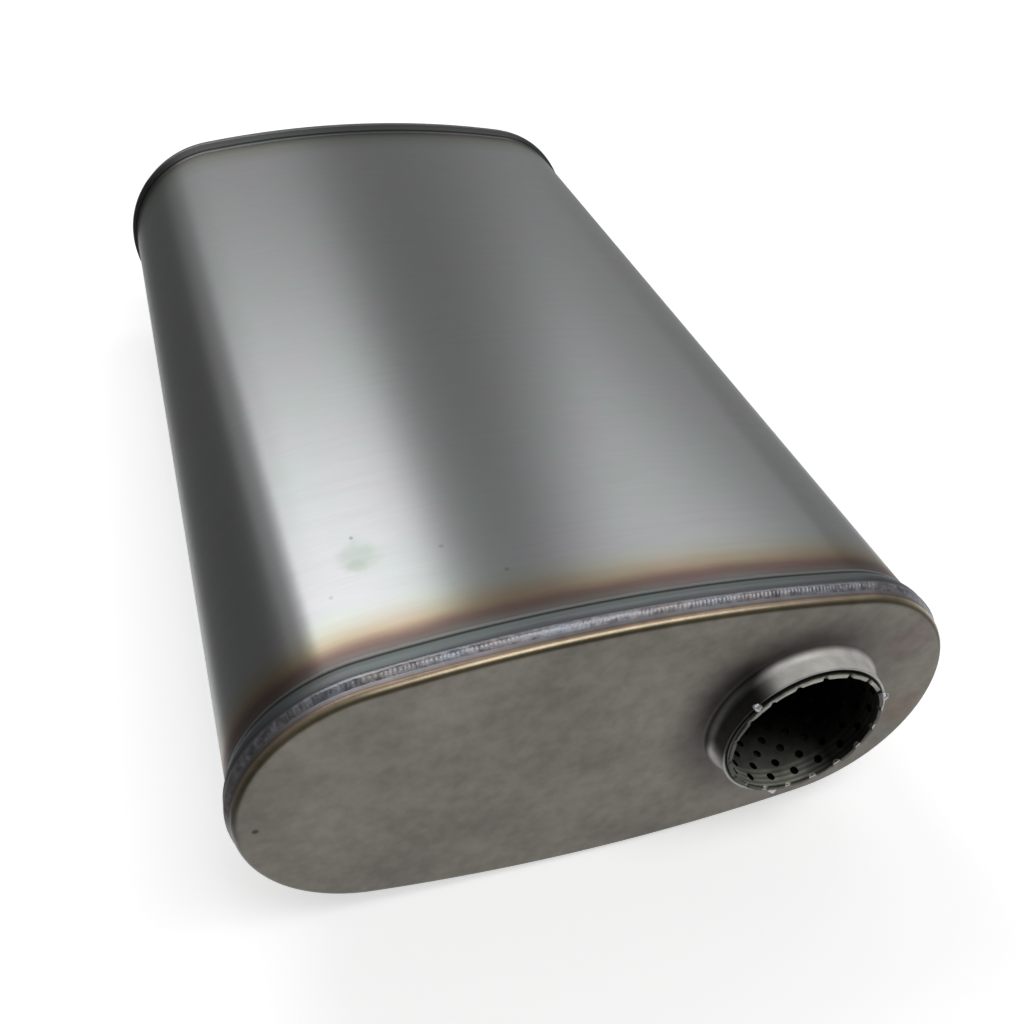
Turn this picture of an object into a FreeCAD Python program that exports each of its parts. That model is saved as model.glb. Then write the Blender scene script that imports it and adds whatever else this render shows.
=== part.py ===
import FreeCAD
import Part

import math
import os

from FreeCAD import Vector

# Straight-through exhaust muffler: a rolled oval shell, two stamped end caps with drawn collars,
# and one perforated core tube that runs from collar to collar through three bays of packing.
# Millimetres. Y runs along the muffler, X across its width, Z up. The muffler lies on its rims.

# Body: an oval of four tangent arcs, two shallow crowns and two round ends
half_width = 114.3
half_height = 51.5
end_radius = 46.0
body_length = 375.0
shell_sheet = 0.9

# Belled shell ends, which slip over the skirts of the end caps
bell_rise = 1.5
bell_edge_setback = 5.6
bell_taper = 4.4
bell_bend = 2.5
lap_clearance = 0.1
skirt_stop_gap = 0.2

# End caps
cap_sheet = 1.2
shoulder_radius = 2.4
skirt_length = 9.2
collar_height = 8.2
collar_root_radius = 3.5

# Fillet welds that close the laps between the shell and the end caps
rim_weld_leg_on_cap = 1.35
rim_weld_leg_on_shell = 1.9
rim_weld_crown = 0.2
rim_weld_crown_setback = 0.45

# Long weld that closes the rolled shell, on the underside
shell_seam_gap = 1.0
shell_seam_bead_width = 3.2
shell_seam_bead_height = 0.4
shell_seam_end_margin = 3.0

# Perforated core tube, off centre, rolled from strip with a blank margin along its seam
core_offset = 60.3
core_bore_radius = 25.4
core_wall = 1.2
core_clearance = 0.3
core_stickout = 1.5
core_seam_gap = 0.8
core_seam_angle = 40.9

# Perforation of the core: staggered rows, the outermost one cut through by the tube's end
hole_radius = 1.5
holes_around = 18
first_hole_angle = 0.9
row_spacing = 4.85
cut_row_beyond_end = 0.45
row_skew = 0.5
row_skew_angle = 330.0
rows_per_end = 2
seam_margin_angle = 5.0

# Tack welds between the core and the mouths of the collars
tack_radius = 1.4
tack_angles = (140.0, 260.0, 20.0)

# Partitions that carry the core inside the shell
partition_sheet = 1.0
partition_setback = 118.0
partition_bend_radius = 2.5
partition_skirt_length = 10.0
partition_collar_height = 6.0
partition_root_radius = 3.0

# Packing: steel wool on the core, a blanket wrapped round it, and a batt that fills the wide side
fit_gap = 0.4
wool_thickness = 8.0
wrap_radius = 45.0
wrap_block_reach = 25.0

# Sizes that follow from the ones above
core_outer_radius = core_bore_radius + core_wall
collar_bore_radius = core_outer_radius + core_clearance
collar_outer_radius = collar_bore_radius + cap_sheet
cap_rise = bell_rise - shell_sheet - lap_clearance
taper_angle = math.atan2(bell_rise, bell_taper)
taper_start = skirt_length + skirt_stop_gap + bell_bend * math.tan(taper_angle / 2)
taper_end = taper_start + bell_taper
axis_height = half_height + bell_rise + rim_weld_crown
front_face = -body_length / 2
core_start = -collar_height - core_stickout
core_end = body_length - core_start
wool_outer_radius = core_outer_radius + fit_gap + wool_thickness

AXIS = Vector(0, 1, 0)
TURN = Vector(0, -1, 0)
MIDDLE = Vector(0, 0, 0)


def oval_arcs():
    """The four arcs of the shell's outline: centre x, centre z, radius, start angle, sweep."""
    reach = half_width - end_radius
    crown = (reach**2 + half_height**2 - end_radius**2) / (2 * (half_height - end_radius))
    drop = crown - half_height
    lean = math.degrees(math.atan2(reach, drop))
    return [
        (0, -drop, crown, 90 - lean, 2 * lean),
        (-reach, 0, end_radius, 90 + lean, 180 - 2 * lean),
        (0, drop, crown, 270 - lean, 2 * lean),
        (reach, 0, end_radius, 270 + lean, 180 - 2 * lean),
    ]


def around(centre_x, centre_z, radius, angle, y):
    """A point at an angle, from +X towards +Z, on a circle across the muffler's axis."""
    turn = math.radians(angle)
    x = centre_x + radius * math.cos(turn)
    z = axis_height + centre_z + radius * math.sin(turn)
    return Vector(x, y, z)


def oval_wire(offset, y):
    """The shell's outline, moved out by an offset."""
    edges = []
    for centre_x, centre_z, radius, start, sweep in oval_arcs():
        grown = radius + offset
        points = [around(centre_x, centre_z, grown, start + sweep * part, y) for part in (0, 0.5, 1)]
        edges.append(Part.Arc(*points).toShape())
    return Part.Wire(edges)


def oval_block(offset, start, end):
    """A solid oval block between two depths behind the front face."""
    face = Part.Face(oval_wire(offset, front_face + start))
    return face.extrude(AXIS * (end - start))


def fillet_corners(points):
    """Straight runs and tangent arcs through (out, depth, bend radius) corners."""
    runs = []
    here = points[0][:2]
    for before, corner, after in zip(points, points[1:], points[2:]):
        back = (before[0] - corner[0], before[1] - corner[1])
        ahead = (after[0] - corner[0], after[1] - corner[1])
        back_length = math.hypot(*back)
        ahead_length = math.hypot(*ahead)
        cosine = (back[0] * ahead[0] + back[1] * ahead[1]) / (back_length * ahead_length)
        half = math.acos(max(-1.0, min(1.0, cosine))) / 2
        setback = corner[2] / math.tan(half)
        first = tuple(corner[i] + back[i] / back_length * setback for i in (0, 1))
        last = tuple(corner[i] + ahead[i] / ahead_length * setback for i in (0, 1))
        bisector = tuple(back[i] / back_length + ahead[i] / ahead_length for i in (0, 1))
        reach = corner[2] / math.sin(half) - corner[2]
        size = math.hypot(*bisector)
        middle = tuple(corner[i] + bisector[i] / size * reach for i in (0, 1))
        runs.append((here, first))
        runs.append((first, middle, last))
        here = last
    runs.append((here, points[-1][:2]))
    return runs


def inner_line(points, sheet):
    """The other side of a bent sheet, one sheet thickness to the left of the way it runs."""
    directions = []
    for near, far in zip(points, points[1:]):
        length = math.hypot(far[0] - near[0], far[1] - near[1])
        directions.append(((far[0] - near[0]) / length, (far[1] - near[1]) / length))
    moved = []
    for index, (out, depth, radius) in enumerate(points):
        before = directions[max(index - 1, 0)]
        after = directions[min(index, len(directions) - 1)]
        turn = before[0] * after[1] - before[1] * after[0]
        normal_sum = (-before[1] - after[1], before[0] + after[0])
        scale = sheet * 2 / (normal_sum[0] ** 2 + normal_sum[1] ** 2)
        grown = radius - sheet if turn > 0 else radius + sheet
        moved.append((out + normal_sum[0] * scale, depth + normal_sum[1] * scale, grown))
    return moved


def sheet_section(points, sheet):
    """Closed section of a bent sheet: one side, the far end, the other side back, the near end."""
    outer = fillet_corners(points)
    inner = fillet_corners(list(reversed(inner_line(points, sheet))))
    bridge_far = [(outer[-1][-1], inner[0][0])]
    bridge_near = [(inner[-1][-1], outer[0][0])]
    return outer + bridge_far + inner + bridge_near


def section_face(runs, place):
    """A face from straight runs and arcs, with each (out, depth) point set in space by place."""
    edges = []
    for run in runs:
        corners = [place(*point) for point in run]
        if len(corners) == 3:
            edges.append(Part.Arc(*corners).toShape())
        else:
            edges.append(Part.LineSegment(*corners).toShape())
    return Part.Face(Part.Wire(edges))


def round_the_oval(runs):
    """A ring that follows the shell's outline, from a section of (out, depth) points."""
    sectors = []
    for centre_x, centre_z, radius, start, sweep in oval_arcs():

        def place(out, depth):
            return around(centre_x, centre_z, radius + out, start, front_face + depth)

        hub = Vector(centre_x, 0, axis_height + centre_z)
        sectors.append(section_face(runs, place).revolve(hub, TURN, sweep))
    return one_solid(sectors[0].multiFuse(sectors[1:]))


def round_the_core(runs):
    """A ring about the core's axis, from a section of (radius, depth) points."""

    def place(out, depth):
        return around(core_offset, 0, out, 0, front_face + depth)

    hub = Vector(core_offset, 0, axis_height)
    return section_face(runs, place).revolve(hub, TURN, 360)


def tube_space(radius, start, end):
    """A solid cylinder on the core's axis between two depths behind the front face."""
    base = Vector(core_offset, front_face + start, axis_height)
    return Part.makeCylinder(radius, end - start, base, AXIS)


def sleeve(inner_radius, outer_radius, start, end):
    """A round tube on the core's axis between two depths behind the front face."""
    return tube_space(outer_radius, start, end).cut(tube_space(inner_radius, start, end))


def one_solid(shape):
    """The single solid of a shape, with its split faces joined up again."""
    return shape.removeSplitter().Solids[0]


def to_the_rear(shape):
    """The same piece at the other end of the muffler."""
    return shape.mirror(MIDDLE, AXIS)


def save(shape, node):
    shape.exportStep("parts/" + node + ".step")


def shell_and_seam():
    """Rolled oval shell with belled ends, open along its butt seam, and the weld that closes it."""
    end = body_length
    outside = [
        (bell_rise, bell_edge_setback, 0),
        (bell_rise, taper_start, bell_bend),
        (0, taper_end, bell_bend),
        (0, end - taper_end, bell_bend),
        (bell_rise, end - taper_start, bell_bend),
        (bell_rise, end - bell_edge_setback, 0),
    ]
    closed_shell = round_the_oval(sheet_section(outside, shell_sheet))
    slit = Part.makeBox(
        shell_seam_gap, body_length, axis_height, Vector(-shell_seam_gap / 2, front_face, 0)
    )
    bead_radius = (shell_seam_bead_width**2 / 4 + shell_seam_bead_height**2) / (2 * shell_seam_bead_height)
    bead_start = taper_end + shell_seam_end_margin
    bead_centre = axis_height - half_height - shell_seam_bead_height + bead_radius
    bead = Part.makeCylinder(
        bead_radius, body_length - 2 * bead_start, Vector(0, front_face + bead_start, bead_centre), AXIS
    )
    bead = bead.cut(oval_block(0, 0, body_length))
    weld = one_solid(closed_shell.common(slit).fuse(bead))
    return closed_shell.cut(slit), weld


def stamped_plate(face_depth, rise, bend, skirt, sheet, collar, root):
    """Oval plate with a skirt turned back round its edge and a collar drawn forward for the core."""
    flat_edge = rise - bend - sheet
    rim = round_the_oval(
        sheet_section(
            [
                (flat_edge, face_depth, 0),
                (rise, face_depth, bend),
                (rise, face_depth + skirt, 0),
            ],
            sheet,
        )
    )
    bore = core_outer_radius + core_clearance
    neck = round_the_core(
        sheet_section(
            [
                (bore + sheet + root + sheet, face_depth, 0),
                (bore + sheet, face_depth, root),
                (bore + sheet, face_depth - collar, 0),
            ],
            -sheet,
        )
    )
    plate = oval_block(flat_edge, face_depth, face_depth + sheet)
    plate = plate.cut(tube_space(bore + sheet + root + sheet, face_depth, face_depth + sheet))
    return one_solid(plate.multiFuse([rim, neck]))


def rim_weld():
    """Fillet weld between the cut edge of the shell's bell and the skirt of the end cap."""
    toe_on_cap = (cap_rise, bell_edge_setback - rim_weld_leg_on_cap)
    root_on_cap = (cap_rise, bell_edge_setback)
    edge_top = (bell_rise, bell_edge_setback)
    toe_on_shell = (bell_rise, bell_edge_setback + rim_weld_leg_on_shell)
    crown = (bell_rise + rim_weld_crown, bell_edge_setback + rim_weld_crown_setback)
    bend = (
        (toe_on_cap[0] + crown[0]) / 2 + rim_weld_crown / 2,
        (toe_on_cap[1] + crown[1]) / 2 - rim_weld_crown / 2,
    )
    runs = [
        (toe_on_cap, root_on_cap),
        (root_on_cap, edge_top),
        (edge_top, toe_on_shell),
        (toe_on_shell, crown),
        (crown, bend, toe_on_cap),
    ]
    return round_the_oval(runs)


def hole_centres():
    """Angle and depth of each hole near the two ends of the core, rows staggered by half a pitch."""
    pitch = 360 / holes_around
    front_row = core_start - cut_row_beyond_end
    for row in range(rows_per_end):
        stagger = pitch / 2 if row % 2 == 0 else 0
        for hole in range(holes_around):
            angle = (first_hole_angle + stagger + hole * pitch) % 360
            from_seam = abs((angle - core_seam_angle + 180) % 360 - 180)
            if from_seam < seam_margin_angle:
                continue
            lean = row_skew * math.cos(math.radians(angle - row_skew_angle))
            yield angle, front_row + row * row_spacing + lean


def core_and_seam():
    """Perforated tube with half holes in its cut ends, open along its seam, and the seam's weld."""
    tube = sleeve(core_bore_radius, core_outer_radius, core_start, core_end)
    # The slit and the punches start one wall inside the bore and end one wall outside the tube
    cut_from = core_bore_radius - core_wall
    cut_to = core_outer_radius + core_wall
    slit_corner = Vector(core_offset + cut_from, front_face + core_start, axis_height - core_seam_gap / 2)
    slit = Part.makeBox(cut_to - cut_from, core_end - core_start, core_seam_gap, slit_corner)
    slit.rotate(Vector(core_offset, 0, axis_height), TURN, core_seam_angle)
    weld = tube.common(slit)
    punches = []
    for angle, depth in hole_centres():
        inside = around(core_offset, 0, cut_from, angle, front_face + depth)
        outward = (inside - Vector(core_offset, inside.y, axis_height)).normalize()
        punch = Part.makeCylinder(hole_radius, cut_to - cut_from, inside, outward)
        punches.append(punch)
        punches.append(to_the_rear(punch))
    core = tube.cut(Part.makeCompound([slit] + punches))
    return core.Solids[0], weld.Solids[0]


def core_tacks():
    """Small weld nuggets in the corner between the collar's mouth and the core."""
    nuggets = []
    for angle in tack_angles:
        centre = around(core_offset, 0, core_outer_radius, angle, front_face - collar_height)
        nugget = Part.makeSphere(tack_radius, centre)
        nugget = nugget.cut(tube_space(core_outer_radius, core_start - tack_radius, 0))
        nugget = nugget.cut(tube_space(collar_outer_radius + tack_radius, -collar_height, 0))
        nuggets.append(nugget.Solids[0])
    return Part.makeCompound(nuggets)


def steel_wool(start, end):
    """Steel wool sleeve wound directly on the core."""
    return sleeve(core_outer_radius + fit_gap, wool_outer_radius, start, end)


def wrap_space(grown, start, end):
    """Space of the blanket: a round roll on the core's axis that also fills the near end."""
    roll = tube_space(wrap_radius + grown, start, end)
    block = Part.makeBox(
        half_width, end - start, 2 * axis_height,
        Vector(core_offset - wrap_block_reach - grown, front_face + start, 0),
    )
    return roll.fuse(block)


def blanket(outline, start, end):
    """Blanket wrapped round the steel wool and pressed into the near end of the oval."""
    body = oval_block(outline, start, end).common(wrap_space(0, start, end))
    return one_solid(body.cut(tube_space(wool_outer_radius + fit_gap, start, end)))


def side_batt(outline, start, end):
    """Batt that fills the rest of the oval beside the blanket."""
    return one_solid(oval_block(outline, start, end).cut(wrap_space(fit_gap, start, end)))


def build():
    shell, shell_seam = shell_and_seam()
    save(shell, "shell")
    save(shell_seam, "shell_seam_weld")

    cap = stamped_plate(
        0, cap_rise, shoulder_radius, skirt_length, cap_sheet, collar_height, collar_root_radius
    )
    save(cap, "front_end_cap")
    save(to_the_rear(cap), "rear_end_cap")

    weld = rim_weld()
    save(weld, "front_rim_weld")
    save(to_the_rear(weld), "rear_rim_weld")

    core, core_seam = core_and_seam()
    save(core, "perforated_core")
    save(core_seam, "core_seam_weld")

    tacks = core_tacks()
    save(tacks, "front_core_tacks")
    save(to_the_rear(tacks), "rear_core_tacks")

    inside_shell = -shell_sheet - fit_gap
    partition = stamped_plate(
        partition_setback, inside_shell, partition_bend_radius, partition_skirt_length,
        partition_sheet, partition_collar_height, partition_root_radius,
    )
    save(partition, "front_partition")
    save(to_the_rear(partition), "rear_partition")

    bay_start = cap_sheet + fit_gap
    bay_end = partition_setback - fit_gap
    wool_end = bay_end - partition_collar_height
    end_bay = {
        "steel_wool": steel_wool(bay_start, wool_end),
        "blanket": blanket(inside_shell, bay_start, bay_end),
        "side_batt": side_batt(inside_shell, bay_start, bay_end),
    }
    for name, piece in end_bay.items():
        save(piece, "front_" + name)
        save(to_the_rear(piece), "rear_" + name)

    middle_start = partition_setback + partition_bend_radius + fit_gap
    middle_end = body_length - middle_start
    inside_skirts = inside_shell - partition_sheet - fit_gap
    save(steel_wool(middle_start, middle_end), "middle_steel_wool")
    save(blanket(inside_skirts, middle_start, middle_end), "middle_blanket")
    save(side_batt(inside_skirts, middle_start, middle_end), "middle_side_batt")


os.makedirs("parts", exist_ok=True)
build()
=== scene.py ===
import math
import random

import bmesh
import bpy
from mathutils import Matrix, Quaternion, Vector, noise


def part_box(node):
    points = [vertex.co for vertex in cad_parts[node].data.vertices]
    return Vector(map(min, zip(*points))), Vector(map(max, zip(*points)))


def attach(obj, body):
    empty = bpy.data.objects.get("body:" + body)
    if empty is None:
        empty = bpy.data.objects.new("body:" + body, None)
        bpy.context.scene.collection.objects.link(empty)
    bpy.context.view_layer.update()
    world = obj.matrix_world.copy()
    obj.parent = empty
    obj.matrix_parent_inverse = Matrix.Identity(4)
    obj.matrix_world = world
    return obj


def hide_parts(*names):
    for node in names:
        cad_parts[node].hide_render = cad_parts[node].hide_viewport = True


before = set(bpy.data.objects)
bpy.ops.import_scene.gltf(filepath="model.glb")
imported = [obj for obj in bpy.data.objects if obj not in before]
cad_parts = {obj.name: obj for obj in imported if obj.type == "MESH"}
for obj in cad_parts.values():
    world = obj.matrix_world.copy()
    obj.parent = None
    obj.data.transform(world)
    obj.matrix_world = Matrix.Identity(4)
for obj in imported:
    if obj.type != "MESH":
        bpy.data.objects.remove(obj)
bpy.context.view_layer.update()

# Camera
# It stands above the left corner of the near end and looks down along the muffler, as in the
# photograph. Its place, turn and lens come from fitting the muffler's outline.
camera_place = Vector((-0.11845, -0.3782, 0.32112))
camera_turn_degrees = (50.771, -4.462, -18.202)
lens_for_36_mm = 39.52

camera_data = bpy.data.cameras.new("camera")
camera_data.sensor_width = 36.0
camera_data.lens = lens_for_36_mm
camera_data.clip_start = 0.01
camera = bpy.data.objects.new("camera", camera_data)
camera.location = camera_place
camera.rotation_euler = [math.radians(turn) for turn in camera_turn_degrees]
bpy.context.scene.collection.objects.link(camera)
bpy.context.scene.camera = camera
bpy.context.scene.view_settings.view_transform = "Standard"


# Room
# A wide pale floor under a dim sky, with large soft lamps behind and in front and small low ones at
# the left. Cards along both sides put dark and grey bands into the polished flanks.
def feed(tree, node, inputs):
    """Gives each input of a node its value, or links it to another node's output."""
    for name, value in inputs.items():
        if isinstance(value, bpy.types.NodeSocket):
            tree.links.new(value, node.inputs[name])
        else:
            node.inputs[name].default_value = value


def add_node(tree, kind, inputs=None, **settings):
    """A shader node with its settings, and its inputs as values or as other nodes' outputs."""
    made = tree.nodes.new("ShaderNode" + kind)
    for name, value in settings.items():
        setattr(made, name, value)
    feed(tree, made, inputs or {})
    return made


def maths(tree, operation, *operands, **settings):
    """The result of one sum; each operand is a number or another node's output."""
    return add_node(tree, "Math", dict(enumerate(operands)), operation=operation, **settings).outputs[0]


def ramp(tree, share, stops):
    """The colour at a share along some stops, each (place, red, green, blue) or (place, grey)."""
    made = add_node(tree, "ValToRGB", {"Fac": share})
    elements = made.color_ramp.elements
    elements.remove(elements[-1])
    for index, (place, *colour) in enumerate(stops):
        stop = elements[0] if index == 0 else elements.new(place)
        stop.position = place
        stop.color = (*(colour * 3 if len(colour) == 1 else colour), 1)
    return made.outputs["Color"]


def new_material(name):
    """A material with nodes, and its Principled shader."""
    made = bpy.data.materials.new(name)
    made.use_nodes = True
    return made, made.node_tree.nodes["Principled BSDF"]


def flat_panel(name, corners, material):
    """A four-cornered panel that belongs to the room, not to the muffler."""
    mesh = bpy.data.meshes.new(name)
    mesh.from_pydata(corners, [], [(0, 1, 2, 3)])
    mesh.materials.append(material)
    panel = bpy.data.objects.new(name, mesh)
    bpy.context.scene.collection.objects.link(panel)
    return panel


floor_reach = 6.0
floor_colour = (0.8, 0.8, 0.8, 1)
floor_glow = 0.54

floor_material, floor_shader = new_material("pale_floor")
floor_tree = floor_material.node_tree
seen_by = add_node(floor_tree, "LightPath").outputs
seen_directly = maths(floor_tree, "MAXIMUM", seen_by["Is Camera Ray"], seen_by["Is Glossy Ray"])
seen_directly = maths(floor_tree, "MAXIMUM", seen_directly, seen_by["Is Transmission Ray"])
feed(floor_tree, floor_shader, {
    "Base Color": floor_colour,
    "Roughness": 0.9,
    "Emission Color": (1, 1, 1, 1),
    "Emission Strength": maths(floor_tree, "MULTIPLY", seen_directly, floor_glow),
})
floor_corners = [(x * floor_reach, y * floor_reach, 0) for x, y in ((-1, -1), (1, -1), (1, 1), (-1, 1))]
flat_panel("floor", floor_corners, floor_material)


def card(name, corners, glow):
    """A card that only shows as a reflection in the metal. Its glow is its grey."""
    material, shader = new_material(name)
    feed(material.node_tree, shader, {
        "Base Color": (0, 0, 0, 1),
        "Specular IOR Level": 0,
        "Emission Color": (1, 1, 1, 1),
        "Emission Strength": glow,
    })
    panel = flat_panel(name, corners, material)
    panel.visible_camera = False
    panel.visible_diffuse = False
    panel.visible_shadow = False


card_lift = 0.001
card_start = -0.35
card_end = 1.2
left_card_line = -0.245
left_card_height = 0.155
left_strip_edge = -0.15
right_card_line = 0.25
right_card_start = -0.1
right_card_height = 0.2


def standing(x, start, height):
    """Corners of a card that stands along the muffler."""
    return [(x, start, card_lift), (x, card_end, card_lift), (x, card_end, height), (x, start, height)]


card("left_dark_card", standing(left_card_line, card_start, left_card_height), glow=0.125)
left_strip = [
    (left_card_line, card_start, card_lift),
    (left_strip_edge, card_start, card_lift),
    (left_strip_edge, card_end, card_lift),
    (left_card_line, card_end, card_lift),
]
card("left_dark_strip", left_strip, glow=0.16)
card("right_grey_card", standing(right_card_line, right_card_start, right_card_height), glow=0.36)

lamp_distance = 1.8


def soft_lamp(name, azimuth, elevation, width, height, radiance, left_drop=0):
    """A soft box that faces the muffler. Azimuth 0 is behind it along +Y, and 90 along +X.

    Its left end, as the muffler sees it, hangs lower by left_drop degrees.
    """
    data = bpy.data.lights.new(name, "AREA")
    data.shape = "RECTANGLE"
    data.size = width
    data.size_y = height
    data.energy = radiance * math.pi * width * height
    lamp = bpy.data.objects.new(name, data)
    bearing = math.radians(azimuth)
    climb = math.radians(elevation)
    level = math.cos(climb)
    away = Vector((math.sin(bearing) * level, math.cos(bearing) * level, math.sin(climb)))
    lamp.location = away * lamp_distance
    lamp.rotation_mode = "QUATERNION"
    tilt = Quaternion((0, 0, 1), math.radians(-left_drop))
    lamp.rotation_quaternion = away.to_track_quat("Z", "Y") @ tilt
    bpy.context.scene.collection.objects.link(lamp)


soft_lamp("left_back_lamp", -22, 51, 1.06, 0.60, radiance=3.9, left_drop=21)
soft_lamp("left_low_lamp", -37.5, 36, 0.32, 0.22, radiance=2.5, left_drop=25)
soft_lamp("left_lowest_lamp", -42, 26, 0.22, 0.22, radiance=0.9, left_drop=30)
soft_lamp("right_back_lamp", 49, 45, 0.95, 0.70, radiance=1.2)
soft_lamp("front_lamp", 147, 66, 1.2, 0.7, radiance=3.3)

# The sky's grey from the horizon up
sky_strength = 2.0
sky_greys = ((0.0, 0.20), (0.3, 0.12), (0.45, 0.075), (0.6, 0.10), (0.75, 0.16), (0.88, 0.14), (1.0, 0.08))
world = bpy.data.worlds.new("studio")
world.use_nodes = True
bpy.context.scene.world = world
sky_tree = world.node_tree
sky_place = add_node(sky_tree, "TexCoord").outputs["Generated"]
sky_height = add_node(sky_tree, "SeparateXYZ", {0: sky_place}).outputs["Z"]
sky_colour = ramp(sky_tree, sky_height, sky_greys)
feed(sky_tree, sky_tree.nodes["Background"], {"Color": sky_colour, "Strength": sky_strength})


# Shell
# One stainless sheet rolled to an oval tube, brushed round the girth. Both ends are belled out to
# slip over the end caps, and the heat of the rim welds has tinted the steel beside them.
half_width = 0.1143
half_height = 0.0515
end_radius = 0.046
shell_sheet = 0.0009
bell_rise = 0.0015
bell_edge_setback = 0.0056
bell_taper = 0.0044
bell_bend = 0.0025
skirt_length = 0.0092
skirt_stop_gap = 0.0002
collar_height = 0.0082
bend_steps = 6
shell_stations = 360

shell_low, shell_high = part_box("shell")
axis_height = (shell_low.z + shell_high.z) / 2
half_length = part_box("rear_end_cap")[1].y - collar_height
taper_start = skirt_length + skirt_stop_gap + bell_bend * math.tan(math.atan2(bell_rise, bell_taper) / 2)
taper_end = taper_start + bell_taper


def oval_stations(count):
    """Evenly spaced places round the shell's outline, each with the direction that it faces."""
    reach = half_width - end_radius
    crown = (reach**2 + half_height**2 - end_radius**2) / (2 * (half_height - end_radius))
    drop = crown - half_height
    lean = math.atan2(reach, drop)
    arcs = [
        (0, -drop, crown, math.pi / 2 - lean, 2 * lean),
        (-reach, 0, end_radius, math.pi / 2 + lean, math.pi - 2 * lean),
        (0, drop, crown, math.pi * 3 / 2 - lean, 2 * lean),
        (reach, 0, end_radius, math.pi * 3 / 2 + lean, math.pi - 2 * lean),
    ]
    girth = sum(radius * sweep for _, _, radius, _, sweep in arcs)
    stations = []
    for index in range(count):
        along = girth * index / count
        for centre_x, centre_z, radius, start, sweep in arcs:
            if along < radius * sweep:
                break
            along -= radius * sweep
        angle = start + along / radius
        facing = Vector((math.cos(angle), 0, math.sin(angle)))
        stations.append((Vector((centre_x, 0, axis_height + centre_z)) + facing * radius, facing))
    return stations


def rounded_line(corners):
    """A line of (out, depth) points through corners given as (out, depth, bend radius)."""
    line = [Vector(corners[0][:2])]
    for before, corner, after in zip(corners, corners[1:], corners[2:]):
        here = Vector(corner[:2])
        back = (Vector(before[:2]) - here).normalized()
        ahead = (Vector(after[:2]) - here).normalized()
        half = back.angle(ahead) / 2
        centre = here + (back + ahead).normalized() * corner[2] / math.sin(half)
        start = here + back * corner[2] / math.tan(half) - centre
        turn = start.angle_signed(here + ahead * corner[2] / math.tan(half) - centre)
        for step in range(bend_steps + 1):
            line.append(centre + Matrix.Rotation(-turn * step / bend_steps, 2) @ start)
    line.append(Vector(corners[-1][:2]))
    return line


def other_side(line, sheet):
    """The other face of a bent sheet, one sheet thickness to the left of the way the line runs."""
    moved = []
    for index, point in enumerate(line):
        along = (line[min(index + 1, len(line) - 1)] - line[max(index - 1, 0)]).normalized()
        moved.append(point + Vector((-along.y, along.x)) * sheet)
    return moved


def sweep(mesh, stations, section, side, closed=True):
    """Rings of vertices where (out, depth) points follow the stations, joined by faces.

    Depth is measured from the face of the end cap, on the front end (side -1) or the rear (side 1).
    """
    rings = []
    for foot, facing in stations:
        ring = []
        for out, depth in section:
            place = foot + facing * out
            ring.append(mesh.verts.new((place.x, side * (half_length - depth), place.z)))
        rings.append(ring)
    steps = len(section) if closed else len(section) - 1
    for ring, following in zip(rings, rings[1:] + rings[:1]):
        for index in range(steps):
            after = (index + 1) % len(section)
            mesh.faces.new((ring[index], ring[after], following[after], following[index]))
    return rings


def piece_from(mesh, name, material, sharp_angle=40):
    """The finished piece: smooth faces, with hard edges where the surface turns sharply."""
    bmesh.ops.recalc_face_normals(mesh, faces=mesh.faces)
    data = bpy.data.meshes.new(name)
    mesh.to_mesh(data)
    mesh.free()
    data.shade_smooth()
    data.set_sharp_from_angle(angle=math.radians(sharp_angle))
    data.materials.append(material)
    piece = bpy.data.objects.new(name, data)
    bpy.context.scene.collection.objects.link(piece)
    even = piece.modifiers.new("even_shading", "WEIGHTED_NORMAL")
    even.keep_sharp = True
    return piece


def new_group(name, inputs, outputs):
    """A shader group with its named sockets; inputs are (name, kind, value), outputs (name, kind)."""
    group = bpy.data.node_groups.new(name, "ShaderNodeTree")
    for label, kind, value in inputs:
        socket = group.interface.new_socket(label, in_out="INPUT", socket_type="NodeSocket" + kind)
        socket.default_value = value
    for label, kind in outputs:
        group.interface.new_socket(label, in_out="OUTPUT", socket_type="NodeSocket" + kind)
    return group, group.nodes.new("NodeGroupInput"), group.nodes.new("NodeGroupOutput")


def place_group(tree, group, **values):
    """A group in a material, with this material's values; an underscore stands for a space."""
    made = tree.nodes.new("ShaderNodeGroup")
    made.node_tree = group
    feed(tree, made, {name.replace("_", " "): value for name, value in values.items()})
    return made


def on_muffler(tree):
    """Where a point lies in the muffler's frame, in metres."""
    return add_node(tree, "TexCoord").outputs["Object"]


def vector_maths(tree, operation, *operands):
    """The result of one sum on vectors, which is a number for a length, distance or dot product."""
    made = add_node(tree, "VectorMath", dict(enumerate(operands)), operation=operation)
    return made.outputs["Value" if operation in ("LENGTH", "DISTANCE", "DOT_PRODUCT") else "Vector"]


def mottle(tree, place, scale, detail, roughness, distortion=0.0):
    """Soft random values round one half."""
    values = {
        "Vector": place, "Scale": scale, "Detail": detail, "Roughness": roughness, "Distortion": distortion,
    }
    return add_node(tree, "TexNoise", values).outputs["Fac"]


def between(tree, value, start, end, low=0.0, high=1.0, soft=False):
    """Low up to start, high from end on, and a straight or soft change between them."""
    values = {"Value": value, "From Min": start, "From Max": end, "To Min": low, "To Max": high}
    change = "SMOOTHSTEP" if soft else "LINEAR"
    return add_node(tree, "MapRange", values, interpolation_type=change).outputs["Result"]


def laid_over(tree, under, over, share=1.0, way="MULTIPLY"):
    """One colour laid over another, as far as the share says."""
    return add_node(tree, "Mix", {0: share, 6: under, 7: over}, data_type="RGBA", blend_type=way).outputs[2]


def relief(tree, height, strength, distance):
    """The shading of a surface that stands up where height is large."""
    return add_node(tree, "Bump", {"Height": height, "Strength": strength, "Distance": distance}).outputs[0]


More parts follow.
